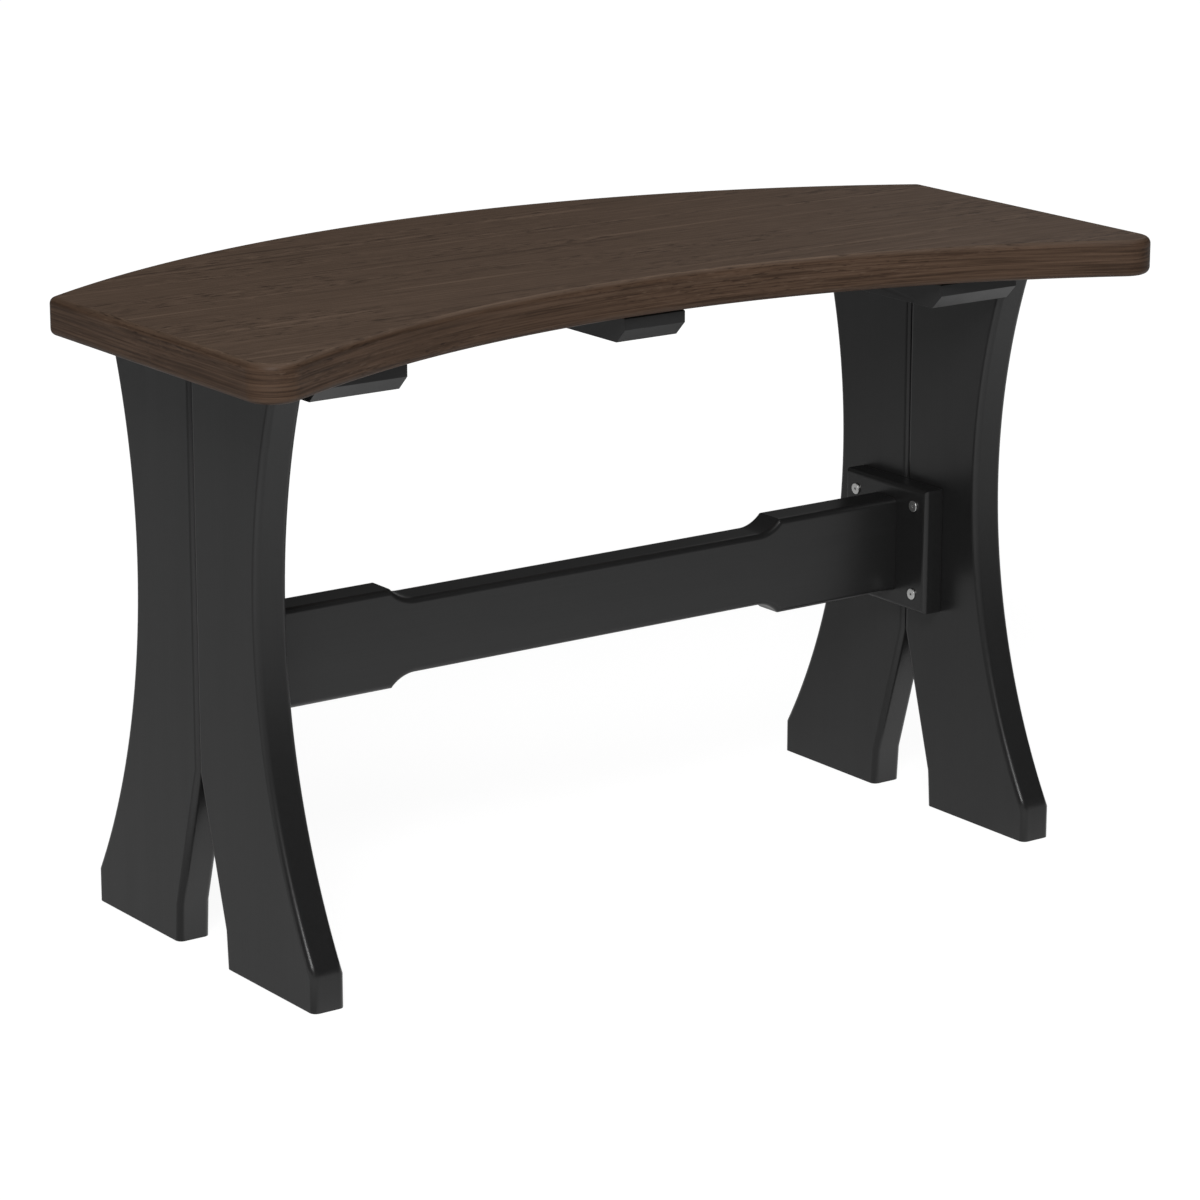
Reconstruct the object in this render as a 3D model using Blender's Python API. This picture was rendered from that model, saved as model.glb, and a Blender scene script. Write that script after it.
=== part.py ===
"""A curved bench: one slab seat on two trestle ends that a stretcher ties together.

Metres, +Z up. X runs along the bench, and its front, the hollow side of the curve, faces -Y.
The origin is on the floor under the middle of the bench.
"""

import math

import bmesh
import bpy
from mathutils import Vector

for leftover in list(bpy.data.objects):
    bpy.data.objects.remove(leftover, do_unlink=True)

# Seat: a slab whose front and back edges are the same arc, one depth apart.
SEAT_LENGTH = 1.016
SEAT_DEPTH = 0.387
SEAT_THICKNESS = 0.0358
SEAT_HEIGHT = 0.6086
SEAT_CURVE_RADIUS = 0.9695
SEAT_FRONT_CORNER_RADIUS = 0.0276
SEAT_BACK_CORNER_RADIUS = 0.0102
SEAT_ROUND = 0.0065

# Trestle ends: each is a front and a rear board in one plane, waisted outside, notched at the foot.
SEAT_OVERHANG = 0.0746
TRESTLE_SETBACK = 0.1242
LEG_THICKNESS = 0.034
FOOT_DEPTH = 0.3854
WAIST_DEPTH = 0.2124
WAIST_HEIGHT = 0.3506
LEG_CURVE_RADIUS = 0.6263
NOTCH_HEIGHT = 0.178
NOTCH_FLOOR_WIDTH = 0.0845
NOTCH_TOE_WIDTH = 0.0797
NOTCH_TOE_HEIGHT = 0.0362
LEG_ROUND = 0.0064

# Cleats: flat boards under the seat, chamfered below at their two ends.
CLEAT_THICKNESS = 0.0268
CLEAT_CHAMFER = 0.0134
END_CLEAT_WIDTH = 0.0938
END_CLEAT_LENGTH = 0.3205
MIDDLE_CLEAT_WIDTH = 0.0693
MIDDLE_CLEAT_INSET = 0.0115

# Stretcher and the square plates that hold it to the trestle ends.
PLATE_SIZE = 0.127
PLATE_THICKNESS = 0.0228
PLATE_HEIGHT = 0.2722
PLATE_SETBACK = 0.0055
STRETCHER_THICKNESS = 0.038
STRETCHER_END_HEIGHT = 0.0961
STRETCHER_STEP = 0.0117
STRETCHER_STEP_RUN = 0.0265
STRETCHER_SHOULDER = 0.1472
BOARD_ROUND = 0.0055

# Screws: one kind of flat-topped steel screw in four lengths.
SCREW_HEAD_DIAMETER = 0.0112
SCREW_HEAD_HEIGHT = 0.0014
SCREW_HEAD_RIM = 0.0008
SCREW_CROWN_DIAMETER = 0.0096
SCREW_CROWN_DROP = 0.0001
SCREW_SHANK_DIAMETER = 0.005
SCREW_POINT = 0.006
SCREW_BITE = 0.020
STRETCHER_SCREW_BITE = 0.040
LEG_SCREW_GRIP = 0.050
PLATE_SCREW_SPACING = 0.091
STRETCHER_SCREW_SPACING = 0.050
LEG_SCREW_INNER = 0.026
LEG_SCREW_OUTER = 0.068
CLEAT_SCREW_MARGIN = 0.030
CLEAT_SCREW_EDGE = 0.0175

# Fits: the play between pieces that touch, and the room round a screw and past its point.
GAP = 0.0003
BORE_PLAY = 0.0003
TIP_ROOM = 0.002
HEAD_ROOM = 0.001

# How finely round shapes are divided.
LONG_ARC_STEPS = 20
CORNER_STEPS = 5
STEP_ARC_STEPS = 6
ROUND_SEGMENTS = 3
SCREW_SIDES = 12

# Two coordinates closer than this are taken as the same.
SAME = 0.00003

# Heights and planes that follow from the sizes above.
SEAT_UNDERSIDE = SEAT_HEIGHT - SEAT_THICKNESS
UNDER_SEAT = SEAT_UNDERSIDE - GAP
CLEAT_UNDERSIDE = UNDER_SEAT - CLEAT_THICKNESS
LEG_OUTER_X = SEAT_LENGTH / 2 - SEAT_OVERHANG
LEG_INNER_X = LEG_OUTER_X - LEG_THICKNESS
PLATE_OUTER_X = LEG_INNER_X - GAP
PLATE_INNER_X = PLATE_OUTER_X - PLATE_THICKNESS
STRETCHER_END_X = PLATE_INNER_X - GAP
CLEAT_OUTER_X = LEG_INNER_X - GAP
CLEAT_INNER_X = CLEAT_OUTER_X - END_CLEAT_WIDTH
FRONT_CORNER_X = SEAT_LENGTH / 2 - SEAT_FRONT_CORNER_RADIUS
BACK_CORNER_X = SEAT_LENGTH / 2 - SEAT_BACK_CORNER_RADIUS
FRONT_CORNER_SWING = SEAT_CURVE_RADIUS + SEAT_FRONT_CORNER_RADIUS
BACK_CORNER_SWING = SEAT_CURVE_RADIUS - SEAT_BACK_CORNER_RADIUS
FRONT_SWEEP = math.asin(FRONT_CORNER_X / FRONT_CORNER_SWING)
BACK_SWEEP = math.asin(BACK_CORNER_X / BACK_CORNER_SWING)
FRONT_CORNER_DROP = SEAT_CURVE_RADIUS - FRONT_CORNER_SWING * math.cos(FRONT_SWEEP)
BACK_CORNER_DROP = SEAT_CURVE_RADIUS - BACK_CORNER_SWING * math.cos(BACK_SWEEP)
SEAT_FRONT_Y = (FRONT_CORNER_DROP + SEAT_FRONT_CORNER_RADIUS - SEAT_DEPTH) / 2
SEAT_BACK_Y = SEAT_FRONT_Y + SEAT_DEPTH
TRESTLE_Y = SEAT_FRONT_Y + TRESTLE_SETBACK
PLATE_Y = TRESTLE_Y + PLATE_SETBACK
HEAD_DEPTH = SCREW_HEAD_HEIGHT + 2 * GAP


def finish(name, color, roughness, metallic=0.0):
    """A plain material of one colour."""
    material = bpy.data.materials.new(name)
    material.use_nodes = True
    shader = material.node_tree.nodes["Principled BSDF"]
    shader.inputs["Base Color"].default_value = (*color, 1.0)
    shader.inputs["Roughness"].default_value = roughness
    shader.inputs["Metallic"].default_value = metallic
    material.diffuse_color = (*color, 1.0)
    return material


SEAT_BOARD = finish("brown_grained_board", (0.069, 0.047, 0.035), 0.5)
BLACK_BOARD = finish("black_board", (0.014, 0.014, 0.0145), 0.42)
STEEL = finish("steel", (0.55, 0.55, 0.54), 0.3, 1.0)

pieces = {}
bores = {}


def add_piece(name, shape, material):
    """Turn a closed shape into a named object."""
    bmesh.ops.recalc_face_normals(shape, faces=shape.faces)
    mesh = bpy.data.meshes.new(name)
    shape.to_mesh(mesh)
    shape.free()
    mesh.materials.append(material)
    piece = bpy.data.objects.new(name, mesh)
    bpy.context.collection.objects.link(piece)
    pieces[name] = piece
    return piece


def arc(center, radius, start, end, steps):
    """Points on a circle from one angle to another, both ends included."""
    turn = (end - start) / steps
    angles = [start + turn * index for index in range(steps + 1)]
    return [(center[0] + radius * math.cos(a), center[1] + radius * math.sin(a)) for a in angles]


def board(outline, along, low, high):
    """Extrude a flat outline between two planes across the X, Y or Z axis."""
    place = {
        "X": lambda u, v, w: (w, u, v),
        "Y": lambda u, v, w: (u, w, v),
        "Z": lambda u, v, w: (u, v, w),
    }[along]
    shape = bmesh.new()
    corners = [shape.verts.new(place(u, v, low)) for u, v in outline]
    bmesh.ops.remove_doubles(shape, verts=corners, dist=SAME)
    face = shape.faces.new(shape.verts)
    grown = bmesh.ops.extrude_face_region(shape, geom=[face])["geom"]
    top = [item for item in grown if isinstance(item, bmesh.types.BMVert)]
    reach = Vector(place(0, 0, high)) - Vector(place(0, 0, low))
    bmesh.ops.translate(shape, verts=top, vec=reach)
    return shape


def round_over(shape, radius, chosen):
    """Round the edges that a test of their two ends picks out."""
    edges = [edge for edge in shape.edges if chosen(edge.verts[0].co, edge.verts[1].co)]
    bmesh.ops.bevel(shape, geom=edges, offset=radius, offset_type="OFFSET", affect="EDGES",
                    segments=ROUND_SEGMENTS, profile=0.5)


def level(first, second, axis):
    """True for an edge whose two ends have the same coordinate on an axis."""
    return abs(first[axis] - second[axis]) < SAME


def make_seat():
    """The seat slab: two like arcs, straight ends, round corners, soft arrises above and below."""
    front_center = (0.0, SEAT_FRONT_Y - SEAT_CURVE_RADIUS)
    back_center = (0.0, SEAT_BACK_Y - SEAT_CURVE_RADIUS)
    front_corner = (FRONT_CORNER_X, SEAT_FRONT_Y - FRONT_CORNER_DROP)
    back_corner = (BACK_CORNER_X, SEAT_BACK_Y - BACK_CORNER_DROP)
    quarter = math.pi / 2
    right_half = arc(front_center, SEAT_CURVE_RADIUS, quarter, quarter - FRONT_SWEEP, LONG_ARC_STEPS)
    right_half += arc(front_corner, SEAT_FRONT_CORNER_RADIUS, 3 * quarter - FRONT_SWEEP, 4 * quarter,
                      CORNER_STEPS)
    right_half += arc(back_corner, SEAT_BACK_CORNER_RADIUS, 0.0, quarter - BACK_SWEEP, CORNER_STEPS)
    right_half += arc(back_center, SEAT_CURVE_RADIUS, quarter - BACK_SWEEP, quarter, LONG_ARC_STEPS)
    outline = right_half + [(-x, y) for x, y in reversed(right_half)]
    shape = board(outline, "Z", SEAT_UNDERSIDE, SEAT_HEIGHT)
    round_over(shape, SEAT_ROUND, lambda a, b: level(a, b, 2))
    add_piece("seat_top", shape, SEAT_BOARD)


def make_leg(side, end, side_sign, end_sign):
    """One board of a trestle end; end_sign is -1 for the front board and 1 for the rear one."""
    curve_center = (WAIST_DEPTH / 2 + LEG_CURVE_RADIUS, WAIST_HEIGHT)
    toe_turn = math.acos(1 - (FOOT_DEPTH - WAIST_DEPTH) / (2 * LEG_CURVE_RADIUS))
    top_turn = math.asin((UNDER_SEAT - WAIST_HEIGHT) / LEG_CURVE_RADIUS)
    slope = NOTCH_TOE_WIDTH / 2 / (NOTCH_HEIGHT - NOTCH_TOE_HEIGHT)
    joint = GAP / 2
    outline = [(NOTCH_FLOOR_WIDTH / 2, 0.0), (FOOT_DEPTH / 2, 0.0)]
    outline += arc(curve_center, LEG_CURVE_RADIUS, math.pi + toe_turn, math.pi - top_turn, LONG_ARC_STEPS)
    outline += [(joint, UNDER_SEAT), (joint, NOTCH_HEIGHT - joint / slope)]
    outline += [(NOTCH_TOE_WIDTH / 2, NOTCH_TOE_HEIGHT)]
    placed = [(TRESTLE_Y + end_sign * depth, height) for depth, height in outline]
    faces = sorted((side_sign * LEG_INNER_X, side_sign * LEG_OUTER_X))
    shape = board(placed, "X", *faces)

    def long_edge(a, b):
        return level(a, b, 0) and not level(a, b, 2)

    round_over(shape, LEG_ROUND, long_edge)
    add_piece(f"{side}_{end}_leg", shape, BLACK_BOARD)


def make_cleat(name, low_x, high_x, front_y, back_y):
    """A flat board under the seat, its two ends chamfered below."""
    shoulder = CLEAT_UNDERSIDE + CLEAT_CHAMFER
    outline = [
        (front_y, UNDER_SEAT),
        (front_y, shoulder),
        (front_y + CLEAT_CHAMFER, CLEAT_UNDERSIDE),
        (back_y - CLEAT_CHAMFER, CLEAT_UNDERSIDE),
        (back_y, shoulder),
        (back_y, UNDER_SEAT),
    ]
    add_piece(name, board(outline, "X", low_x, high_x), BLACK_BOARD)


def make_plate(side, side_sign):
    """A square plate flat against the inner faces of two leg boards, soft round its free face."""
    half = PLATE_SIZE / 2
    outline = [
        (PLATE_Y - half, PLATE_HEIGHT - half),
        (PLATE_Y + half, PLATE_HEIGHT - half),
        (PLATE_Y + half, PLATE_HEIGHT + half),
        (PLATE_Y - half, PLATE_HEIGHT + half),
    ]
    shape = board(outline, "X", *sorted((side_sign * PLATE_INNER_X, side_sign * PLATE_OUTER_X)))
    middle_x = (PLATE_INNER_X + PLATE_OUTER_X) / 2

    def free_edge(a, b):
        return level(a, b, 0) and abs(a.x) < middle_x

    round_over(shape, BOARD_ROUND, free_edge)
    add_piece(f"{side}_plate", shape, BLACK_BOARD)


def make_stretcher():
    """A board on edge between the plates, deep at its ends and cut back between them by hollow steps."""
    half_end = STRETCHER_END_HEIGHT / 2
    half_middle = half_end - STRETCHER_STEP
    shoulder_x = STRETCHER_END_X - STRETCHER_SHOULDER
    radius = (STRETCHER_STEP_RUN ** 2 + STRETCHER_STEP ** 2) / (2 * STRETCHER_STEP)
    turn = math.atan2(STRETCHER_STEP_RUN, radius - STRETCHER_STEP)
    hollow = arc((shoulder_x - STRETCHER_STEP_RUN, half_middle + radius), radius, -math.pi / 2,
                 turn - math.pi / 2, STEP_ARC_STEPS)
    quarter = hollow + [(STRETCHER_END_X, half_end)]
    outline = [(-x, z) for x, z in reversed(quarter)] + quarter
    outline += [(x, -z) for x, z in reversed(outline)]
    placed = [(x, PLATE_HEIGHT + z) for x, z in outline]
    half_thickness = STRETCHER_THICKNESS / 2
    shape = board(placed, "Y", PLATE_Y - half_thickness, PLATE_Y + half_thickness)

    def long_edge(a, b):
        return level(a, b, 1) and not level(a, b, 0)

    round_over(shape, BOARD_ROUND, long_edge)
    add_piece("stretcher", shape, BLACK_BOARD)


def make_screw(name, seat_point, direction, length):
    """A low-head screw; its head bears on seat_point and its shank points along direction."""
    head = SCREW_HEAD_DIAMETER / 2
    shank = SCREW_SHANK_DIAMETER / 2
    profile = [
        (0.0, -SCREW_HEAD_HEIGHT),
        (SCREW_CROWN_DIAMETER / 2, SCREW_CROWN_DROP - SCREW_HEAD_HEIGHT),
        (head, -SCREW_HEAD_RIM),
        (head, 0.0),
        (shank, 0.0),
        (shank, length - SCREW_POINT),
        (0.0, length),
    ]
    axis = Vector(direction)
    across = axis.orthogonal().normalized()
    start = Vector(seat_point)
    shape = bmesh.new()
    points = [shape.verts.new(start + across * out + axis * down) for out, down in profile]
    edges = [shape.edges.new(pair) for pair in zip(points, points[1:])]
    bmesh.ops.spin(shape, geom=points + edges, cent=start, axis=axis, angle=2 * math.pi,
                   steps=SCREW_SIDES, use_merge=True)
    bmesh.ops.remove_doubles(shape, verts=shape.verts, dist=SAME)
    add_piece(name, shape, STEEL)


def fasten(name, face_point, direction, grip, bite, through, into, sunk=0.0):
    """Put a screw through one piece into another, and list the bores that it needs.

    face_point is where the screw's axis meets the face it is driven from. sunk is how deep the head
    is let in there, grip what it clamps below the head, and bite how far it goes into the second piece.
    """
    axis = Vector(direction)
    bearing = Vector(face_point) + axis * sunk
    tip = GAP + grip + GAP + bite
    make_screw(name, bearing - axis * GAP, axis, tip)
    bore_radius = SCREW_SHANK_DIAMETER / 2 + BORE_PLAY
    bore = (bearing - axis * TIP_ROOM, bearing + axis * (tip + TIP_ROOM), bore_radius)
    bores.setdefault(through, []).append(bore)
    bores.setdefault(into, []).append(bore)
    if sunk:
        room = SCREW_HEAD_DIAMETER / 2 + HEAD_ROOM
        bores[through].append((Vector(face_point) - axis * TIP_ROOM, bearing, room))


def cut_bores(name, holes):
    """Take every listed bore out of a piece."""
    shape = bmesh.new()
    for start, end, radius in holes:
        span = end - start
        turn = span.to_track_quat("Z", "Y").to_matrix().to_4x4()
        turn.translation = (start + end) / 2
        bmesh.ops.create_cone(shape, cap_ends=True, segments=SCREW_SIDES, radius1=radius, radius2=radius,
                              depth=span.length, matrix=turn)
    mesh = bpy.data.meshes.new(f"{name}_bores")
    shape.to_mesh(mesh)
    shape.free()
    cutter = bpy.data.objects.new(f"{name}_bores", mesh)
    bpy.context.collection.objects.link(cutter)
    cutter.hide_render = True
    cutter.display_type = "WIRE"
    cut = pieces[name].modifiers.new("bores", "BOOLEAN")
    cut.operation = "DIFFERENCE"
    cut.solver = "EXACT"
    cut.use_self = True
    cut.object = cutter


make_seat()
sides = (("left", -1), ("right", 1))
ends = (("front", -1), ("rear", 1))
for side, side_sign in sides:
    for end, end_sign in ends:
        make_leg(side, end, side_sign, end_sign)
    make_plate(side, side_sign)
make_stretcher()

half_length = END_CLEAT_LENGTH / 2
make_cleat("left_cleat", -CLEAT_OUTER_X, -CLEAT_INNER_X, TRESTLE_Y - half_length, TRESTLE_Y + half_length)
make_cleat("right_cleat", CLEAT_INNER_X, CLEAT_OUTER_X, TRESTLE_Y - half_length, TRESTLE_Y + half_length)
make_cleat("middle_cleat", -MIDDLE_CLEAT_WIDTH / 2, MIDDLE_CLEAT_WIDTH / 2,
           SEAT_FRONT_Y + MIDDLE_CLEAT_INSET, SEAT_BACK_Y - MIDDLE_CLEAT_INSET)

# Plate screws: four in a square through each plate, two into each leg board.
for side, side_sign in sides:
    for end, end_sign in ends:
        for level_name, rise in (("lower", -1), ("upper", 1)):
            place = (side_sign * PLATE_INNER_X, PLATE_Y + end_sign * PLATE_SCREW_SPACING / 2,
                     PLATE_HEIGHT + rise * PLATE_SCREW_SPACING / 2)
            fasten(f"{side}_plate_screw_{level_name}_{end}", place, (side_sign, 0, 0), PLATE_THICKNESS,
                   SCREW_BITE, f"{side}_plate", f"{side}_{end}_leg")

# Stretcher screws: two through each plate from its leg side, heads let in, into the stretcher's end.
for side, side_sign in sides:
    for level_name, rise in (("lower", -1), ("upper", 1)):
        place = (side_sign * PLATE_OUTER_X, PLATE_Y, PLATE_HEIGHT + rise * STRETCHER_SCREW_SPACING / 2)
        fasten(f"{side}_stretcher_screw_{level_name}", place, (-side_sign, 0, 0),
               PLATE_THICKNESS - HEAD_DEPTH, STRETCHER_SCREW_BITE, f"{side}_plate", "stretcher", HEAD_DEPTH)

# Leg screws: two through each end cleat into each leg board, heads deep in the cleat's inner edge.
for side, side_sign in sides:
    for end, end_sign in ends:
        for spot_name, spot in (("inner", LEG_SCREW_INNER), ("outer", LEG_SCREW_OUTER)):
            place = (side_sign * CLEAT_INNER_X, TRESTLE_Y + end_sign * spot,
                     CLEAT_UNDERSIDE + CLEAT_THICKNESS / 2)
            fasten(f"{side}_leg_screw_{end}_{spot_name}", place, (side_sign, 0, 0), LEG_SCREW_GRIP,
                   SCREW_BITE, f"{side}_cleat", f"{side}_{end}_leg", END_CLEAT_WIDTH - LEG_SCREW_GRIP)

# Seat screws: four up through each cleat into the seat, heads let in below.
for cleat in ("left_cleat", "middle_cleat", "right_cleat"):
    corners = [Vector(corner) for corner in pieces[cleat].bound_box]
    low = Vector(min(corner[axis] for corner in corners) for axis in range(3))
    high = Vector(max(corner[axis] for corner in corners) for axis in range(3))
    for end, y in (("front", low.y + CLEAT_SCREW_MARGIN), ("rear", high.y - CLEAT_SCREW_MARGIN)):
        for side, x in (("left", low.x + CLEAT_SCREW_EDGE), ("right", high.x - CLEAT_SCREW_EDGE)):
            place = (x, y, CLEAT_UNDERSIDE)
            fasten(f"{cleat}_screw_{end}_{side}", place, (0, 0, 1), CLEAT_THICKNESS - HEAD_DEPTH,
                   SCREW_BITE, cleat, "seat_top", HEAD_DEPTH)

for name, holes in bores.items():
    cut_bores(name, holes)
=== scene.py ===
import math

import bmesh
import bpy
from mathutils import Matrix, Vector
from mathutils.kdtree import KDTree


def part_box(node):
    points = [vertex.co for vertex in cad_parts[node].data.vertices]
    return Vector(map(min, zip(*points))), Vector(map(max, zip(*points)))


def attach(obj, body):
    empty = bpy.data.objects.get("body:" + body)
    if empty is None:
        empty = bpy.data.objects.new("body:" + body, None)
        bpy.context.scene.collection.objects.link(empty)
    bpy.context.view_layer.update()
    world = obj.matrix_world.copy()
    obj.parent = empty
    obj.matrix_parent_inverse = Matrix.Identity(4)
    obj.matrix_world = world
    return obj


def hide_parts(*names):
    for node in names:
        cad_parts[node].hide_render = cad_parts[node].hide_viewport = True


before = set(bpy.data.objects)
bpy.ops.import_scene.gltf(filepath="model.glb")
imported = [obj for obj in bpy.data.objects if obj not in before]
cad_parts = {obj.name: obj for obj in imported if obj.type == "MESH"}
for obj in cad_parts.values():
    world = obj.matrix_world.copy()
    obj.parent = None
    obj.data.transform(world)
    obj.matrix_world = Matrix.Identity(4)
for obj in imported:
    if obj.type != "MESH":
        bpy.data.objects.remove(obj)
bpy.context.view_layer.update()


# Leg boards: two shaped boards side by side make each trestle end, cut from black recycled-plastic
# lumber that is coloured right through. Their long arrises are rounded over with a router, which
# leaves a vee groove where the two boards meet, and the foot is notched between them.
leg_waist_depth = 0.2124
leg_waist_height = 0.3506
leg_curve_radius = 0.6263
leg_notch_height = 0.178
leg_notch_floor = 0.0845
leg_notch_toe = 0.0797
leg_notch_toe_height = 0.0362
leg_round = 0.0064
leg_curve_steps = 48
round_steps = 6
round_profile = 0.5
same_place = 0.00003
start_size = 0.01
smooth_angle = math.radians(35)
flat_weight = 100
quarter = math.pi / 2


def start_outline(name, first):
    """Begin a piece as one point of its outline: a small plane drawn together to its middle."""
    bpy.ops.object.select_all(action="DESELECT")
    bpy.ops.mesh.primitive_plane_add(size=start_size, location=first)
    piece = bpy.context.object
    piece.name = name
    piece.data.name = name
    piece.data.materials.clear()
    bpy.ops.object.mode_set(mode="EDIT")
    bpy.ops.mesh.select_mode(type="VERT")
    bpy.ops.mesh.select_all(action="SELECT")
    bpy.ops.mesh.merge(type="CENTER")
    return piece


def run(x, y, z):
    """Draw the outline on in a straight line."""
    bpy.ops.mesh.extrude_vertices_move(TRANSFORM_OT_translate={"value": (x, y, z)})


def sweep(center, axis, angle, steps):
    """Draw the outline on round a centre, clockwise about the axis."""
    bpy.ops.mesh.spin(steps=steps, angle=angle, center=center, axis=axis)


def thicken(x, y, z):
    """Close the outline to a face and draw it out to a board."""
    bpy.ops.mesh.select_all(action="SELECT")
    bpy.ops.mesh.remove_doubles(threshold=same_place)
    bpy.ops.mesh.edge_face_add()
    bpy.ops.mesh.extrude_region_move(TRANSFORM_OT_translate={"value": (x, y, z)})
    bpy.ops.mesh.select_all(action="SELECT")
    bpy.ops.mesh.normals_make_consistent(inside=False)


def pick_edges(piece, test):
    """Select the edges whose two ends pass a test."""
    bpy.ops.mesh.select_mode(type="EDGE")
    bpy.ops.mesh.select_all(action="DESELECT")
    shape = bmesh.from_edit_mesh(piece.data)
    for edge in shape.edges:
        first, second = (piece.matrix_world @ corner.co for corner in edge.verts)
        edge.select_set(test(first, second))
    bmesh.update_edit_mesh(piece.data)


def level(first, second, axis):
    """True where two points are the same along an axis."""
    return abs(first[axis] - second[axis]) < same_place


def round_over(piece, radius, steps, test):
    """Round the edges that pass a test."""
    pick_edges(piece, test)
    bpy.ops.mesh.bevel(offset=radius, offset_type="OFFSET", segments=steps, profile=round_profile,
                       affect="EDGES", clamp_overlap=False)


def finish_piece(piece):
    """Leave edit mode, put the place into the mesh and shade the flats flat and the rounds round."""
    bpy.ops.object.mode_set(mode="OBJECT")
    bpy.ops.object.select_all(action="DESELECT")
    piece.select_set(True)
    bpy.context.view_layer.objects.active = piece
    bpy.ops.object.transform_apply(location=True, rotation=True, scale=True)
    bpy.ops.object.shade_smooth_by_angle(angle=smooth_angle)
    flats = piece.modifiers.new("flats", "WEIGHTED_NORMAL")
    flats.mode = "FACE_AREA"
    flats.weight = flat_weight
    flats.keep_sharp = True
    bpy.ops.object.modifier_apply(modifier=flats.name)


def copy_piece(piece, name, shift):
    """A second piece like the first, moved along, with a mesh of its own."""
    bpy.ops.object.select_all(action="DESELECT")
    piece.select_set(True)
    bpy.context.view_layer.objects.active = piece
    bpy.ops.object.duplicate(linked=False)
    twin = bpy.context.object
    twin.name = name
    twin.data.name = name
    bpy.ops.transform.translate(value=shift)
    bpy.ops.object.transform_apply(location=True, rotation=True, scale=True)
    return twin


def leg_board(name, node, toward):
    """One leg board, drawn from the notch round by the toe; toward is -1 for the front, 1 for the rear."""
    low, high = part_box(node)
    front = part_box("left_front_leg")[0].y
    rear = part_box("left_rear_leg")[1].y
    middle = (front + rear) / 2
    foot = (rear - front) / 2
    joint = toward * ((high.y if toward < 0 else low.y) - middle)
    toe_turn = math.acos(1 - (foot - leg_waist_depth / 2) / leg_curve_radius)
    top_turn = math.asin((high.z - leg_waist_height) / leg_curve_radius)
    toe_height = leg_waist_height - leg_curve_radius * math.sin(toe_turn)
    top = leg_waist_depth / 2 + leg_curve_radius * (1 - math.cos(top_turn))
    slope = leg_notch_toe / 2 / (leg_notch_height - leg_notch_toe_height)
    notch = leg_notch_height - joint / slope
    center = (low.x, middle + toward * (leg_waist_depth / 2 + leg_curve_radius), leg_waist_height)
    piece = start_outline(name, (low.x, middle + toward * leg_notch_floor / 2, 0))
    run(0, toward * (foot - leg_notch_floor / 2), 0)
    run(0, 0, toe_height)
    sweep(center, (toward, 0, 0), toe_turn + top_turn, leg_curve_steps)
    run(0, toward * (joint - top), 0)
    run(0, 0, notch - high.z)
    run(0, toward * (leg_notch_toe / 2 - joint), leg_notch_toe_height - notch)
    thicken(high.x - low.x, 0, 0)
    round_over(piece, leg_round, round_steps, lambda a, b: level(a, b, 0) and not level(a, b, 2))
    finish_piece(piece)
    return piece


def add_node(tree, kind, **settings):
    """A node of a kind, with its settings given by name."""
    node = tree.nodes.new(kind)
    for name, value in settings.items():
        setattr(node, name, value)
    return node


grain_roughness = 0.55
grain_distortion = 0.5
grain_lines = bpy.data.node_groups.new("grain_lines", "ShaderNodeTree")
grain_lines.interface.new_socket("Vector", in_out="INPUT", socket_type="NodeSocketVector")
for socket in ("Along", "Across", "Detail"):
    grain_lines.interface.new_socket(socket, in_out="INPUT", socket_type="NodeSocketFloat")
grain_lines.interface.new_socket("Lines", in_out="OUTPUT", socket_type="NodeSocketFloat")
grain_in = add_node(grain_lines, "NodeGroupInput")
grain_out = add_node(grain_lines, "NodeGroupOutput")
grain_pitch = add_node(grain_lines, "ShaderNodeCombineXYZ")
grain_drawn = add_node(grain_lines, "ShaderNodeVectorMath", operation="MULTIPLY")
grain_noise = add_node(grain_lines, "ShaderNodeTexNoise")
grain_noise.inputs["Scale"].default_value = 1.0
grain_noise.inputs["Roughness"].default_value = grain_roughness
grain_noise.inputs["Distortion"].default_value = grain_distortion
for source, target in (
    (grain_in.outputs["Along"], grain_pitch.inputs["X"]),
    (grain_in.outputs["Across"], grain_pitch.inputs["Y"]),
    (grain_in.outputs["Across"], grain_pitch.inputs["Z"]),
    (grain_in.outputs["Vector"], grain_drawn.inputs[0]),
    (grain_pitch.outputs["Vector"], grain_drawn.inputs[1]),
    (grain_drawn.outputs["Vector"], grain_noise.inputs["Vector"]),
    (grain_in.outputs["Detail"], grain_noise.inputs["Detail"]),
    (grain_noise.outputs["Fac"], grain_out.inputs["Lines"]),
):
    grain_lines.links.new(source, target)


def place_lines(tree, vector, along, across, detail):
    """Grain lines in a material, as repeats for each metre along and across the board."""
    lines = add_node(tree, "ShaderNodeGroup", node_tree=grain_lines)
    tree.links.new(vector, lines.inputs["Vector"])
    lines.inputs["Along"].default_value = along
    lines.inputs["Across"].default_value = across
    lines.inputs["Detail"].default_value = detail
    return lines.outputs["Lines"]


def spread(tree, value, low, high, to_low, to_high):
    """A value brought from one range to another."""
    brought = add_node(tree, "ShaderNodeMapRange")
    tree.links.new(value, brought.inputs["Value"])
    brought.inputs["From Min"].default_value = low
    brought.inputs["From Max"].default_value = high
    brought.inputs["To Min"].default_value = to_low
    brought.inputs["To Max"].default_value = to_high
    return brought.outputs["Result"]


def mix_colors(tree, share, first, second, blend="MIX"):
    """Two colours mixed by a share; each is a colour or the output of a node."""
    mix = add_node(tree, "ShaderNodeMix", data_type="RGBA", blend_type=blend)
    for socket, value in (("Factor", share), ("A", first), ("B", second)):
        if isinstance(value, bpy.types.NodeSocket):
            tree.links.new(value, mix.inputs[socket])
        else:
            mix.inputs[socket].default_value = value
    return mix.outputs["Result"]


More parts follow.
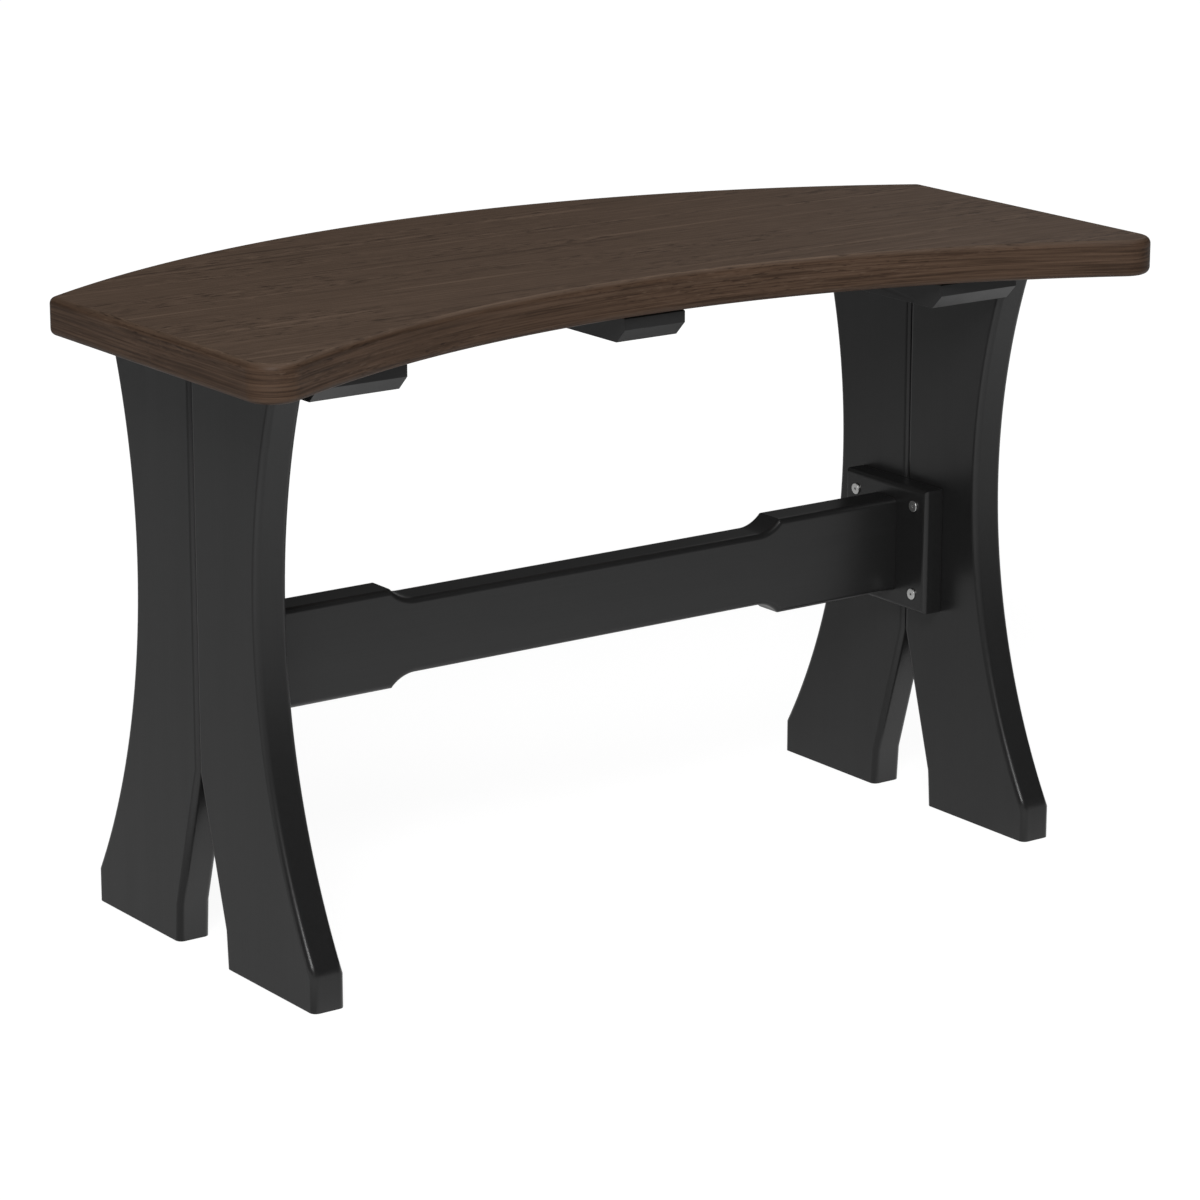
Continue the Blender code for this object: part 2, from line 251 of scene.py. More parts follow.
def new_finish(name):
    """A material with its tree and its one shader."""
    finish = bpy.data.materials.new(name)
    finish.use_nodes = True
    return finish, finish.node_tree, finish.node_tree.nodes["Principled BSDF"]


def dress(piece, finish):
    """Give a piece its one material."""
    piece.data.materials.clear()
    piece.data.materials.append(finish)


ridge_height = 0.0004


def raise_grain(tree, shader, height, strength):
    """Let a pattern stand a little proud of the surface."""
    ridge = add_node(tree, "ShaderNodeBump")
    ridge.inputs["Strength"].default_value = strength
    ridge.inputs["Distance"].default_value = ridge_height
    tree.links.new(height, ridge.inputs["Height"])
    tree.links.new(ridge.outputs["Normal"], shader.inputs["Normal"])


# A grain is its repeats for each metre along and across the board, then its detail. A range is the low
# and high of a pattern, then the two values that they are brought to.
black_deep = (0.0120, 0.0120, 0.0121, 1)
black_pale = (0.0136, 0.0136, 0.0137, 1)
black_comb = (9, 620, 3)
black_drift = (3, 34, 2)
black_tone_range = (0.3, 0.7, 0.0, 1.0)
black_roughness_range = (0.3, 0.7, 0.28, 0.34)
black_ridge = 0.06
black_specular = 0.35


def black_lumber(name, turn):
    """Black lumber, satin, with a faint combed grain; turn brings the board's length onto X."""
    finish, tree, shader = new_finish(name)
    place = add_node(tree, "ShaderNodeTexCoord")
    lie = add_node(tree, "ShaderNodeMapping")
    lie.inputs["Rotation"].default_value = turn
    tree.links.new(place.outputs["Object"], lie.inputs["Vector"])
    comb = place_lines(tree, lie.outputs["Vector"], *black_comb)
    drift = place_lines(tree, lie.outputs["Vector"], *black_drift)
    tone = spread(tree, comb, *black_tone_range)
    tree.links.new(mix_colors(tree, tone, black_deep, black_pale), shader.inputs["Base Color"])
    tree.links.new(spread(tree, drift, *black_roughness_range), shader.inputs["Roughness"])
    raise_grain(tree, shader, comb, black_ridge)
    shader.inputs["Specular IOR Level"].default_value = black_specular
    return finish


black_upright = black_lumber("black_lumber_upright", (0, quarter, 0))
leg_shift = (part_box("right_front_leg")[0].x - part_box("left_front_leg")[0].x, 0, 0)
leg_boards = {}
for end, toward in (("front", -1), ("rear", 1)):
    left = leg_board(f"left_{end}_leg_board", f"left_{end}_leg", toward)
    leg_boards[f"left_{end}_leg"] = left
    leg_boards[f"right_{end}_leg"] = copy_piece(left, f"right_{end}_leg_board", leg_shift)
for node, piece in leg_boards.items():
    dress(piece, black_upright)
    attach(piece, "root")
    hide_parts(node)


# Plates: one square of the same black lumber on the inner face of each trestle end, rounded over
# round its free face and held by four screws, two into each leg board.
plate_round = 0.0055
plate_arris = 0.0006
arris_steps = 2


def sawn_block(name, node):
    """A block as it comes off the saw, in the box of a node."""
    low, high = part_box(node)
    bpy.ops.object.select_all(action="DESELECT")
    bpy.ops.mesh.primitive_cube_add(size=1, location=(low + high) / 2, scale=high - low)
    piece = bpy.context.object
    piece.name = name
    piece.data.name = name
    bpy.ops.object.mode_set(mode="EDIT")
    return piece


plate_leg_x, plate_free_x = (corner.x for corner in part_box("left_plate"))
left_plate = sawn_block("left_plate_board", "left_plate")
round_over(left_plate, plate_round, round_steps,
           lambda a, b: level(a, b, 0) and abs(a.x - plate_free_x) < same_place)
round_over(left_plate, plate_arris, arris_steps,
           lambda a, b: level(a, b, 0) and abs(a.x - plate_leg_x) < same_place)
finish_piece(left_plate)
right_plate = copy_piece(left_plate, "right_plate_board", (0, 0, 0))
bpy.ops.object.mode_set(mode="EDIT")
bpy.ops.mesh.select_all(action="SELECT")
bpy.ops.transform.resize(value=(-1, 1, 1), center_override=(0, 0, 0))
bpy.ops.mesh.normals_make_consistent(inside=False)
finish_piece(right_plate)
for node, piece in (("left_plate", left_plate), ("right_plate", right_plate)):
    dress(piece, black_upright)
    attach(piece, "root")
    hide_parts(node)


# Stretcher: a black board on edge between the two plates, cut back above and below by hollow steps
# so that its ends stay deep. Its long arrises are rounded over, and a pair of screws through each
# plate runs into its end grain.
stretcher_step = 0.0117
stretcher_step_run = 0.0265
stretcher_shoulder = 0.1472
stretcher_round = 0.0055
stretcher_step_steps = 12

low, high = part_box("stretcher")
half_end = (high.z - low.z) / 2
middle_z = (high.z + low.z) / 2
shoulder_x = high.x - stretcher_shoulder
hollow_x = shoulder_x - stretcher_step_run
hollow_radius = (stretcher_step_run ** 2 + stretcher_step ** 2) / (2 * stretcher_step)
hollow_turn = math.atan2(stretcher_step_run, hollow_radius - stretcher_step)
hollow_rise = half_end - stretcher_step + hollow_radius
stretcher = start_outline("stretcher_board", low)
for upward in (-1, 1):
    to_right = -upward
    run(to_right * stretcher_shoulder, 0, 0)
    sweep((-to_right * hollow_x, low.y, middle_z + upward * hollow_rise), (0, -1, 0), hollow_turn,
          stretcher_step_steps)
    run(to_right * 2 * hollow_x, 0, 0)
    sweep((to_right * hollow_x, low.y, middle_z + upward * hollow_rise), (0, -1, 0), hollow_turn,
          stretcher_step_steps)
    run(to_right * stretcher_shoulder, 0, 0)
    if upward < 0:
        run(0, 0, high.z - low.z)
thicken(0, high.y - low.y, 0)
round_over(stretcher, stretcher_round, round_steps,
           lambda a, b: level(a, b, 1) and not level(a, b, 0))
finish_piece(stretcher)
dress(stretcher, black_lumber("black_lumber_lengthwise", (0, 0, 0)))
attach(stretcher, "root")
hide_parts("stretcher")


# Cleats: three flat black boards under the seat, their two ends chamfered below. Screws up into the seat
# sit in shallow counterbores. The end cleats lie against the trestle ends, and deeper holes in their free
# edges take the screws into the legs.
cleat_chamfer = 0.0134
cleat_top_chamfer = 0.0026
cleat_arris = 0.0003
chamfer_steps = 1
counterbore_radius = 0.0066
counterbore_sides = 32
leg_screw_depth = 0.0438
seat_screw_depth = 0.0020


def cleat_board(name, node):
    """A cleat with chamfered ends and its sharp arrises taken off."""
    low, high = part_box(node)
    piece = sawn_block(name, node)

    def under_end(a, b):
        at_end = abs(a.y - low.y) < same_place or abs(a.y - high.y) < same_place
        return at_end and level(a, b, 1) and max(a.z, b.z) - low.z < same_place

    round_over(piece, cleat_chamfer, chamfer_steps, under_end)
    round_over(piece, cleat_top_chamfer, chamfer_steps,
               lambda a, b: high.z - min(a.z, b.z) < same_place)
    round_over(piece, cleat_arris, arris_steps, lambda a, b: True)
    finish_piece(piece)
    return piece


def counterbore(piece, place, turn, depth):
    """Drill a flat-bottomed hole for a screw head into a face of a cleat."""
    bpy.ops.object.select_all(action="DESELECT")
    bpy.ops.mesh.primitive_cylinder_add(vertices=counterbore_sides, radius=counterbore_radius,
                                        depth=2 * depth, location=place, rotation=turn)
    drill = bpy.context.object
    bpy.ops.object.select_all(action="DESELECT")
    piece.select_set(True)
    bpy.context.view_layer.objects.active = piece
    hole = piece.modifiers.new("hole", "BOOLEAN")
    hole.operation = "DIFFERENCE"
    hole.solver = "EXACT"
    hole.object = drill
    bpy.ops.object.modifier_apply(modifier=hole.name)
    bpy.data.objects.remove(drill, do_unlink=True)


def middle_of(node):
    """The middle of a node's box."""
    low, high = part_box(node)
    return (low + high) / 2


cleats = {}
for node in ("left_cleat", "middle_cleat", "right_cleat"):
    cleats[node] = cleat_board(f"{node}_board", node)
    under_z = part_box(node)[0].z
    for end in ("front", "rear"):
        for side in ("left", "right"):
            middle = middle_of(f"{node}_screw_{end}_{side}")
            counterbore(cleats[node], (middle.x, middle.y, under_z), (0, 0, 0), seat_screw_depth)
for side, free_end in (("left", 1), ("right", 0)):
    free_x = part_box(f"{side}_cleat")[free_end].x
    for end in ("front", "rear"):
        for spot in ("inner", "outer"):
            middle = middle_of(f"{side}_leg_screw_{end}_{spot}")
            counterbore(cleats[f"{side}_cleat"], (free_x, middle.y, middle.z), (0, quarter, 0),
                        leg_screw_depth)
for piece in cleats.values():
    finish_piece(piece)
black_crosswise = black_lumber("black_lumber_crosswise", (0, 0, quarter))
for node, piece in cleats.items():
    dress(piece, black_crosswise)
    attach(piece, "root")
    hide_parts(node)


# Seat: one thick slab of brown wood-grain lumber, front and back cut to the same curve, the ends
# straight. The corners are rounded, the front ones more, the arrises are rounded over all round, and
# screws up through the cleats hold it.
seat_depth = 0.387
seat_curve_radius = 0.9695
seat_front_corner = 0.0276
seat_back_corner = 0.0102
seat_round = 0.0065
seat_curve_steps = 72
seat_corner_steps = 14
seat_edge_shift = 1.0
seat_under_shift = 3.0
seat_edge_and_highlight_start = 0.95
seat_edge_and_highlight_run = 0.6

low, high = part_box("seat_top")
seat_top_z = high.z
seat_under_z = low.z
half_length = high.x
back_y = high.y
front_y = back_y - seat_depth
front_swing = seat_curve_radius + seat_front_corner
back_swing = seat_curve_radius - seat_back_corner
front_corner_x = half_length - seat_front_corner
back_corner_x = half_length - seat_back_corner
front_turn = math.asin(front_corner_x / front_swing)
back_turn = math.asin(back_corner_x / back_swing)
front_center_y = front_y - seat_curve_radius
back_center_y = back_y - seat_curve_radius
front_corner_y = front_center_y + front_swing * math.cos(front_turn)
back_corner_y = back_center_y + back_swing * math.cos(back_turn)
up = (0, 0, 1)
down = (0, 0, -1)
seat = start_outline("seat_slab", (-seat_curve_radius * math.sin(front_turn),
                                   front_center_y + seat_curve_radius * math.cos(front_turn), low.z))
sweep((0, front_center_y, low.z), up, 2 * front_turn, seat_curve_steps)
sweep((front_corner_x, front_corner_y, low.z), down, quarter + front_turn, seat_corner_steps)
run(0, back_corner_y - front_corner_y, 0)
sweep((back_corner_x, back_corner_y, low.z), down, quarter - back_turn, seat_corner_steps)
sweep((0, back_center_y, low.z), down, 2 * back_turn, seat_curve_steps)
sweep((-back_corner_x, back_corner_y, low.z), down, quarter - back_turn, seat_corner_steps)
run(0, front_corner_y - back_corner_y, 0)
sweep((-front_corner_x, front_corner_y, low.z), down, quarter + front_turn, seat_corner_steps)
thicken(0, 0, high.z - low.z)
shape = bmesh.from_edit_mesh(seat.data)
under_face = min(shape.faces, key=lambda face: face.normal.z)
rim = [seat.matrix_world @ corner.co for corner in under_face.verts]
round_over(seat, seat_round, round_steps, lambda a, b: level(a, b, 2))
finish_piece(seat)

first = max(range(len(rim)), key=lambda index: rim[index].y)
rim = rim[first:] + rim[:first]
rim_lookup = KDTree(len(rim))
rim_runs = [0.0]
for index, place in enumerate(rim):
    rim_lookup.insert((place.x, place.y, 0), index)
    rim_runs.append(rim_runs[-1] + (rim[(index + 1) % len(rim)] - place).length)
rim_length = rim_runs[-1]
rim_lookup.balance()


def climb(z):
    """How far up the edge a height is, measured round the arrises."""
    straight_top = seat_top_z - seat_round
    straight_under = seat_under_z + seat_round
    if z > straight_top:
        return straight_top + seat_round * math.asin(min(1.0, (z - straight_top) / seat_round))
    if z < straight_under:
        return straight_under - seat_round * math.asin(min(1.0, (straight_under - z) / seat_round))
    return z


# The grain lies flat on the slab's two faces and runs round the rim on its edge. The edge band says how
# much of the edge's colour a face takes: none on the top, and all of it once a round-over is steep. On the
# top round-over the lighter top colour fades into the edge colour, a painted highlight along the arris.
seat_grain = seat.data.uv_layers.new(name="grain")
seat_edge_and_highlight = seat.data.attributes.new("edge_and_highlight", "FLOAT", "FACE")
for face in seat.data.polygons:
    places = [seat.data.vertices[index].co for index in face.vertices]
    if len(places) > 4:
        shift = 0.0 if face.normal.z > 0 else seat_under_shift
        spots = [(place.x, place.y + shift) for place in places]
    else:
        # Painted highlight: the upper part of the top round-over keeps some of the lighter top colour.
        share = (seat_edge_and_highlight_start - face.normal.z) / seat_edge_and_highlight_run
        seat_edge_and_highlight.data[face.index].value = min(1.0, max(0.0, share))
        runs = [rim_runs[rim_lookup.find((place.x, place.y, 0))[1]] for place in places]
        if max(runs) - min(runs) > rim_length / 2:
            runs = [at + rim_length if at < rim_length / 2 else at for at in runs]
        spots = [(at, climb(place.z) + seat_edge_shift) for at, place in zip(runs, places)]
    for loop, spot in zip(face.loop_indices, spots):
        seat_grain.data[loop].uv = spot

brown_dark = (0.0660, 0.0422, 0.0284, 1)
brown_middle = (0.0790, 0.0508, 0.0342, 1)
brown_light = (0.0925, 0.0602, 0.0412, 1)
edge_dark = (0.0370, 0.0209, 0.0126, 1)
edge_middle = (0.0645, 0.0382, 0.0241, 1)
edge_light = (0.0920, 0.0558, 0.0362, 1)
vein_tint = (0.45, 0.42, 0.40, 1)
tick_tint = (0.42, 0.39, 0.37, 1)
drift_tint = (0.80, 0.78, 0.76, 1)
gleam_brown = (0.140, 0.094, 0.066, 1)
top_stops = (0.3, 0.5, 0.7)
edge_stops = (0.34, 0.5, 0.66)
seat_drift = (1.3, 17, 2)
seat_rows = (3.0, 24, 1)
seat_vein = (2.4, 130, 1)
top_streak_grain = (15, 320, 3)
edge_streak_grain = (8, 460, 3)
top_tick_grain = (48, 260, 2)
edge_tick_grain = (60, 500, 2)
top_tick_range = (0.32, 0.68, 0.25, 0.75)
drift_range = (0.3, 0.7, 0.0, 0.2)
row_range = (0.47, 0.57, 0.15, 1.0)
dark_vein_range = (0.38, 0.30, 0.0, 0.55)
light_vein_range = (0.62, 0.70, 0.0, 0.5)
edge_vein_range = (0.0, 1.0, 1.0, 0.3)
dark_tick_range = (0.42, 0.30, 0.0, 0.9)
light_tick_range = (0.60, 0.72, 0.0, 0.4)
seat_roughness_range = (0.3, 0.7, 0.56, 0.46)
seat_ridge = 0.15
seat_specular = 0.15

brown_board, tree, shader = new_finish("brown_grained_lumber")
run_map = add_node(tree, "ShaderNodeUVMap", uv_map="grain")
edge_and_highlight_reader = add_node(tree, "ShaderNodeAttribute", attribute_name="edge_and_highlight")
grain_run = run_map.outputs["UV"]
edge_and_highlight_share = edge_and_highlight_reader.outputs["Fac"]
drift = place_lines(tree, grain_run, *seat_drift)
rows = place_lines(tree, grain_run, *seat_rows)
vein = place_lines(tree, grain_run, *seat_vein)
top_streak = place_lines(tree, grain_run, *top_streak_grain)
edge_streak = place_lines(tree, grain_run, *edge_streak_grain)
top_tick = spread(tree, place_lines(tree, grain_run, *top_tick_grain), *top_tick_range)
edge_tick = place_lines(tree, grain_run, *edge_tick_grain)


def work(tree, operation, first, second):
    """Two values worked together."""
    worked = add_node(tree, "ShaderNodeMath", operation=operation)
    tree.links.new(first, worked.inputs[0])
    tree.links.new(second, worked.inputs[1])
    return worked.outputs["Value"]


def mix_values(tree, share, first, second):
    """Two values mixed by a share."""
    mix = add_node(tree, "ShaderNodeMix", data_type="FLOAT")
    for socket, value in (("Factor", share), ("A", first), ("B", second)):
        tree.links.new(value, mix.inputs[socket])
    return mix.outputs["Result"]


def three_tones(tree, value, tones, stops):
    """A colour ramp of three tones."""
    ramp = add_node(tree, "ShaderNodeValToRGB")
    ramp.color_ramp.elements.new(stops[1])
    for element, stop, tone in zip(ramp.color_ramp.elements, stops, tones):
        element.position = stop
        element.color = tone
    tree.links.new(value, ramp.inputs["Fac"])
    return ramp.outputs["Color"]


top_color = three_tones(tree, top_streak, (brown_dark, brown_middle, brown_light), top_stops)
edge_color = three_tones(tree, edge_streak, (edge_dark, edge_middle, edge_light), edge_stops)
gathered = spread(tree, rows, *row_range)
tick = mix_values(tree, edge_and_highlight_share, top_tick, edge_tick)
dark_ticks = work(tree, "MULTIPLY", gathered, spread(tree, tick, *dark_tick_range))
light_ticks = work(tree, "MULTIPLY", gathered, spread(tree, tick, *light_tick_range))
light_veins = work(tree, "MULTIPLY", spread(tree, edge_and_highlight_share, *edge_vein_range),
                   spread(tree, vein, *light_vein_range))
# The edge band mixes the top and edge colours; on the top round-over this paints a highlight along the
# arris.
color = mix_colors(tree, edge_and_highlight_share, top_color, edge_color)
color = mix_colors(tree, spread(tree, drift, *drift_range), color, drift_tint, "MULTIPLY")
color = mix_colors(tree, spread(tree, vein, *dark_vein_range), color, vein_tint, "MULTIPLY")
color = mix_colors(tree, light_veins, color, gleam_brown)
color = mix_colors(tree, dark_ticks, color, tick_tint, "MULTIPLY")
color = mix_colors(tree, light_ticks, color, gleam_brown)
tree.links.new(color, shader.inputs["Base Color"])
tree.links.new(spread(tree, top_streak, *seat_roughness_range), shader.inputs["Roughness"])
raise_grain(tree, shader, tick, seat_ridge)
shader.inputs["Specular IOR Level"].default_value = seat_specular
dress(seat, brown_board)
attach(seat, "root")
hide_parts("seat_top")


# Screws: one kind of flat-topped stainless screw with a six-lobe recess, in four lengths. They hold the
# plates to the legs, the stretcher to the plates, the cleats to the legs and the seat to the cleats.
screw_head_radius = 0.0056
screw_head_height = 0.0014
screw_head_round = 0.0004
screw_shank_radius = 0.0025
screw_length = 0.030
screw_point = 0.006
screw_sides = 36
screw_round_steps = 4
recess_radius = 0.0017
recess_depth = 0.0019
recess_lobes = 6
recess_taper = 0.8
# Two like steps of the six from one lobe to the next, and how far the rim is drawn in there.
recess_waists = ((1, 5, 0.95), (2, 4, 0.84), (3, 3, 0.79))
screw_turn = math.radians(37)
facing = 0.99


def pick_faces(piece, test):
    """Select the faces whose centre and normal pass a test."""
    bpy.ops.mesh.select_mode(type="FACE")
    bpy.ops.mesh.select_all(action="DESELECT")
    shape = bmesh.from_edit_mesh(piece.data)
    for face in shape.faces:
        face.select_set(test(piece.matrix_world @ face.calc_center_median(), face.normal))
    bmesh.update_edit_mesh(piece.data)


def pick_points(piece, test):
    """Select the points whose place passes a test."""
    bpy.ops.mesh.select_mode(type="VERT")
    bpy.ops.mesh.select_all(action="DESELECT")
    shape = bmesh.from_edit_mesh(piece.data)
    for point in shape.verts:
        point.select_set(test(piece.matrix_world @ point.co))
    bmesh.update_edit_mesh(piece.data)


def in_waist(place, first, second):
    """True for a point of the recess's rim between two lobes."""
    lobe_steps = screw_sides // recess_lobes
    step = round(math.atan2(place.y, place.x) / (2 * math.pi) * screw_sides) % lobe_steps
    near_rim = abs(place.xy.length - recess_radius) < same_place
    return near_rim and place.z < same_place and step in (first, second)


bpy.ops.object.select_all(action="DESELECT")
bpy.ops.mesh.primitive_cylinder_add(vertices=screw_sides, radius=screw_head_radius,
                                    depth=screw_head_height, location=(0, 0, screw_head_height / 2))
screw = bpy.context.object
screw.name = "screw_pattern"
bpy.ops.object.mode_set(mode="EDIT")
round_over(screw, screw_head_round, screw_round_steps, lambda a, b: max(a.z, b.z) < same_place)
pick_faces(screw, lambda center, normal: normal.z < -facing and center.z < same_place)
bpy.ops.mesh.inset(thickness=screw_head_radius - screw_head_round - recess_radius)
for first, second, waist in recess_waists:
    pick_points(screw, lambda place: in_waist(place, first, second))
    bpy.ops.transform.resize(value=(waist, waist, 1), center_override=(0, 0, 0))
pick_faces(screw, lambda center, normal: normal.z < -facing and center.xy.length < same_place)
bpy.ops.mesh.extrude_region_move(TRANSFORM_OT_translate={"value": (0, 0, recess_depth)})
bpy.ops.transform.resize(value=(recess_taper, recess_taper, 1), center_override=(0, 0, recess_depth))
pick_faces(screw,
           lambda center, normal: normal.z > facing and center.z > screw_head_height - same_place)
bpy.ops.mesh.inset(thickness=screw_head_radius - screw_shank_radius)
bpy.ops.mesh.extrude_region_move(
    TRANSFORM_OT_translate={"value": (0, 0, screw_length - screw_point - screw_head_height)})
bpy.ops.mesh.extrude_region_move(TRANSFORM_OT_translate={"value": (0, 0, screw_point)})
bpy.ops.mesh.merge(type="CENTER")
finish_piece(screw)


def drive_screw(node, direction, turn):
    """A copy of the screw, its shank drawn out to the node's length, driven along a direction."""
    low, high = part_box(node)
    axis = Vector(direction)
    length = abs((high - low).dot(axis))
    piece = copy_piece(screw, f"{node}_steel", (0, 0, 0))
    bpy.ops.object.mode_set(mode="EDIT")
    pick_points(piece, lambda place: place.z > 2 * screw_head_height)
    bpy.ops.transform.translate(value=(0, 0, length - screw_length))
    bpy.ops.object.mode_set(mode="OBJECT")
    aim = axis.to_track_quat("Z", "Y").to_matrix().to_4x4()
    spun = Matrix.Rotation(turn, 4, "Z")
    piece.matrix_world = Matrix.Translation(middle_of(node) - axis * length / 2) @ aim @ spun
    bpy.ops.object.transform_apply(location=True, rotation=True, scale=True)
    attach(piece, "root")
    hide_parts(node)
    return piece


screws = []
for node in sorted(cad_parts):
    if "_screw_" not in node:
        continue
    outward = -1 if node.startswith("left") else 1
    if "cleat_screw" in node:
        direction = (0, 0, 1)
    elif "stretcher_screw" in node:
        direction = (-outward, 0, 0)
    else:
        direction = (outward, 0, 0)
    screws.append(drive_screw(node, direction, screw_turn * len(screws)))
bpy.data.objects.remove(screw, do_unlink=True)

steel_dull = (0.58, 0.58, 0.57, 1)
steel_clean = (0.80, 0.80, 0.79, 1)
steel_rub = (900, 2600, 2)
steel_roughness_range = (0.3, 0.7, 0.34, 0.48)

steel, tree, shader = new_finish("stainless_steel")
place = add_node(tree, "ShaderNodeTexCoord")
rub = place_lines(tree, place.outputs["Object"], *steel_rub)
tree.links.new(mix_colors(tree, rub, steel_dull, steel_clean), shader.inputs["Base Color"])
tree.links.new(spread(tree, rub, *steel_roughness_range), shader.inputs["Roughness"])
shader.inputs["Metallic"].default_value = 1.0
for piece in screws:
    dress(piece, steel)


# Floor: a wide pale studio floor that glows. The camera sees it white apart from the bench's own soft
# shadow. In reflections its glow is a painted reflection, so that the black boards mirror it brighter
# before the bench than behind it, and the change from one to the other falls beside each trestle end.
floor_reach = 60.0
floor_drop = 0.0004
floor_tone = (0.80, 0.80, 0.80, 1)
floor_shade = 0.2
trestle_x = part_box("left_front_leg")[0].x
seen_range = (1.0, 2.4, 0.93, 1.0)
front_side_range = (0.0, 1.6, 0.95, 0.62)
front_away_range = (2.0, 6.0, 1.0, 0.3)
front_far_range = (-0.80, -0.58, 0.76, 1.24)
front_near_range = (-0.50, -0.30, 1.0, 0.80)
under_side_range = (trestle_x + 0.25, trestle_x + 0.35, 1.0, 0.0)
under_deep_range = (-0.24, -0.14, 0.0, 1.0)
under_lift_range = (0.0, 1.0, 1.0, 1.33)
back_side_range = (-0.9, 0.3, 0.345, 0.57)
outside_range = (trestle_x - 0.01, trestle_x + 0.01, 1.0, 0.0)
inside_lag_range = (trestle_x + 0.3, trestle_x + 0.6, -0.1, 0.2)
outside_lag_range = (trestle_x - 0.3, trestle_x, -0.15, 0.28)
turning_range = (-0.12, 0.08, 0.0, 1.0)
shade_range = (0.0, 1.0, 1.0, floor_shade)

bpy.ops.object.select_all(action="DESELECT")
bpy.ops.mesh.primitive_plane_add(size=2 * floor_reach, location=(0, 0, -floor_drop))
floor = bpy.context.object
floor.name = "studio_floor"
floor_paint = bpy.data.materials.new("studio_floor")
floor_paint.use_nodes = True
tree = floor_paint.node_tree
tree.nodes.clear()
surface = add_node(tree, "ShaderNodeOutputMaterial")
lit = add_node(tree, "ShaderNodeBsdfDiffuse")
lit.inputs["Color"].default_value = floor_tone
glow = add_node(tree, "ShaderNodeEmission")
both = add_node(tree, "ShaderNodeAddShader")
paths = add_node(tree, "ShaderNodeLightPath")
place = add_node(tree, "ShaderNodeTexCoord")
split = add_node(tree, "ShaderNodeSeparateXYZ")
away = add_node(tree, "ShaderNodeVectorMath", operation="LENGTH")
tree.links.new(place.outputs["Object"], away.inputs[0])
tree.links.new(place.outputs["Object"], split.inputs["Vector"])

across = split.outputs["X"]
deep = split.outputs["Y"]
distance = away.outputs["Value"]
seen = spread(tree, distance, *seen_range)
# The floor to the right of the left trestle end is repeated to the right of the other one.
beside = add_node(tree, "ShaderNodeMath", operation="WRAP")
tree.links.new(across, beside.inputs[0])
beside.inputs[1].default_value = trestle_x + leg_shift[0]
beside.inputs[2].default_value = trestle_x
inside = beside.outputs["Value"]
under = work(tree, "MULTIPLY", spread(tree, inside, *under_side_range),
             spread(tree, deep, *under_deep_range))
front = spread(tree, across, *front_side_range)
for factor in (
    spread(tree, distance, *front_away_range),
    spread(tree, deep, *front_far_range),
    spread(tree, deep, *front_near_range),
    spread(tree, under, *under_lift_range),
):
    front = work(tree, "MULTIPLY", front, factor)
back = spread(tree, across, *back_side_range)
lag = mix_values(tree, spread(tree, across, *outside_range), spread(tree, inside, *inside_lag_range),
                 spread(tree, across, *outside_lag_range))
turning = work(tree, "ADD", deep, lag)
# Painted reflection: the glow the floor shows in reflections, mixed from the front glow to the back glow.
painted_reflection_glow = mix_values(tree, spread(tree, turning, *turning_range), front, back)
mirrored = work(tree, "MAXIMUM", paths.outputs["Is Glossy Ray"], paths.outputs["Is Transmission Ray"])
looked_at = work(tree, "MAXIMUM", paths.outputs["Is Camera Ray"], mirrored)
strength = work(tree, "ADD", work(tree, "MULTIPLY", seen, paths.outputs["Is Camera Ray"]),
                work(tree, "MULTIPLY", painted_reflection_glow, mirrored))
tree.links.new(strength, glow.inputs["Strength"])
dimmed = add_node(tree, "ShaderNodeMixShader")
tree.links.new(spread(tree, looked_at, *shade_range), dimmed.inputs["Fac"])
tree.links.new(lit.outputs["BSDF"], dimmed.inputs[2])
tree.links.new(dimmed.outputs["Shader"], both.inputs[0])
tree.links.new(glow.outputs["Emission"], both.inputs[1])
tree.links.new(both.outputs["Shader"], surface.inputs["Surface"])
dress(floor, floor_paint)


# Light: a broad soft box overhead and a strong one in front at the left. Two small panels at the right,
# one behind and one in front, glint in the black boards, and a dim grey room fills what is left.
room_white = (1, 1, 1, 1)
room_range = (0.0, 1.0, 0.065, 1.0)


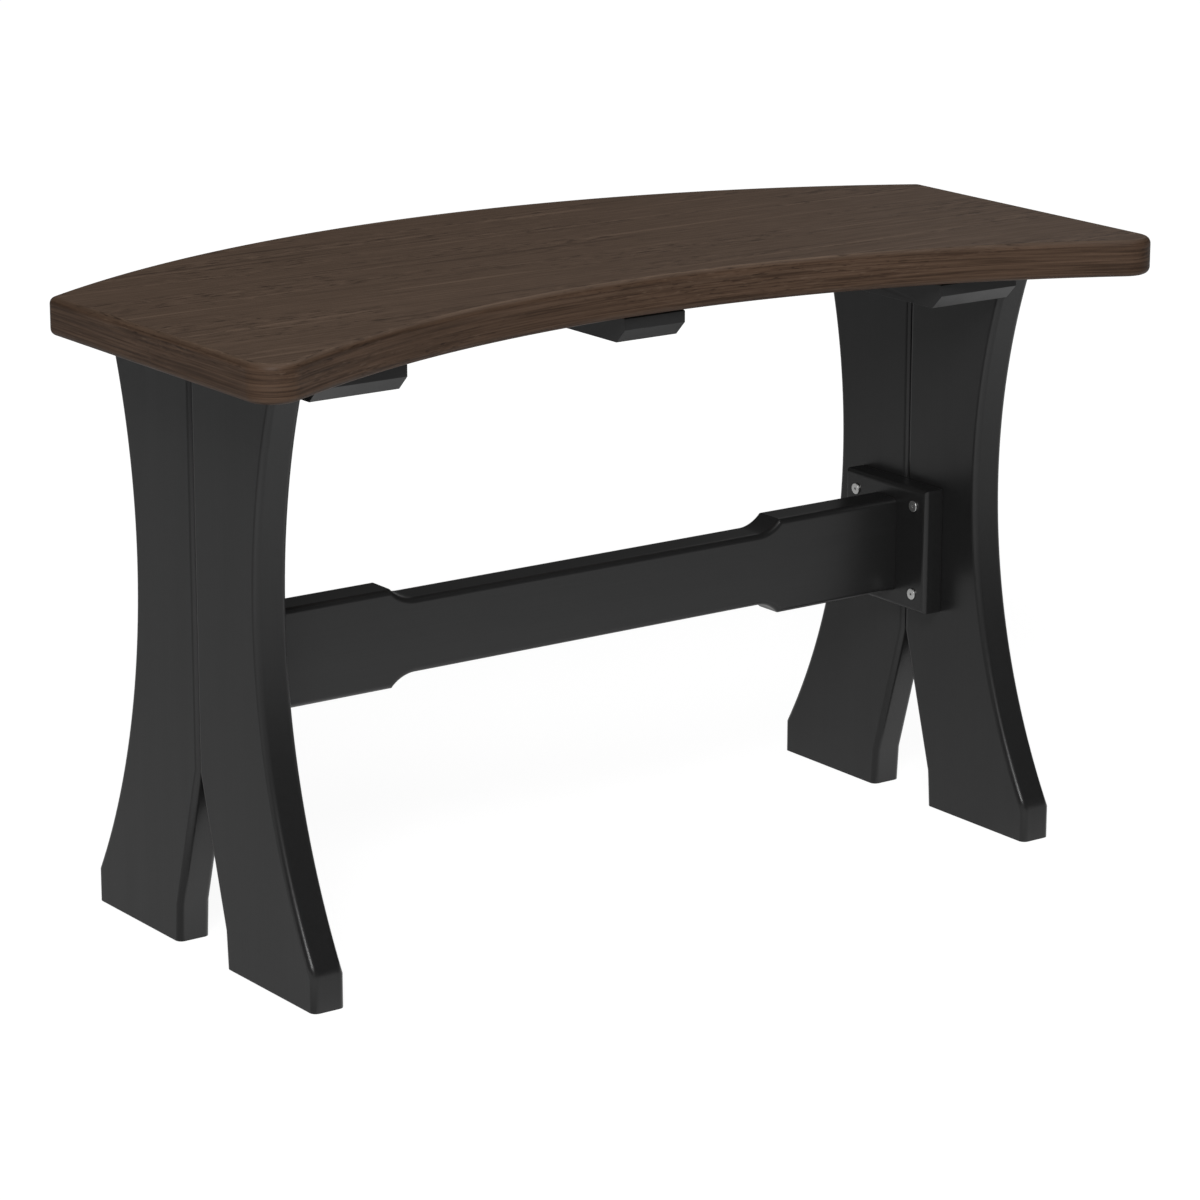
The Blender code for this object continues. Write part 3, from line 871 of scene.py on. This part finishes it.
def soft_box(name, width, height, power, place, target):
    """An area lamp that faces a point."""
    lamp = bpy.data.lights.new(name, "AREA")
    lamp.shape = "RECTANGLE"
    lamp.size = width
    lamp.size_y = height
    lamp.energy = power
    box = bpy.data.objects.new(name, lamp)
    bpy.context.scene.collection.objects.link(box)
    box.location = place
    box.rotation_euler = (Vector(target) - Vector(place)).to_track_quat("-Z", "Y").to_euler()
    box.visible_camera = False


soft_box("overhead_soft_box", width=3.0, height=2.4, power=29,
         place=(0.25, -0.2, 2.9), target=(0, 0, 0.3))
soft_box("key_soft_box", width=2.1, height=2.1, power=268,
         place=(-3.04, -3.84, 3.79), target=(0, 0, 0.35))
soft_box("back_panel", width=1.3, height=0.4, power=1.65,
         place=(2.45, 1.7, 1.85), target=(0.3, 0, 0.6))
soft_box("front_panel", width=0.9, height=0.6, power=0.17,
         place=(1.5, -1.7, 0.55), target=(0.42, -0.2, 0.2))
room = bpy.data.worlds.new("room")
bpy.context.scene.world = room
room.use_nodes = True
tree = room.node_tree
room_air = tree.nodes["Background"]
room_air.inputs["Color"].default_value = room_white
paths = add_node(tree, "ShaderNodeLightPath")
shown = work(tree, "MAXIMUM", paths.outputs["Is Camera Ray"], paths.outputs["Is Transmission Ray"])
tree.links.new(spread(tree, shown, *room_range), room_air.inputs["Strength"])
bpy.context.scene.view_settings.view_transform = "Standard"


# Camera: a long lens where the photo was taken from, in front of the bench to the left and well above
# the seat. It looks a little down, and its place is measured from the floor under the middle of the
# seat's front edge.
eye_sensor = 36.0
eye_lens = 132.782
eye_side = -2.38843
eye_back = 3.22106
eye_height = 1.39802
eye_dip = 0.26754
eye_roll = -0.00118
eye_turn = -0.62339

eye = bpy.data.cameras.new("eye")
eye.sensor_width = eye_sensor
eye.lens = eye_lens
viewer = bpy.data.objects.new("eye", eye)
bpy.context.scene.collection.objects.link(viewer)
viewer.location = (eye_side, front_y - eye_back, eye_height)
viewer.rotation_euler = (quarter - eye_dip, eye_roll, eye_turn)
bpy.context.scene.camera = viewer
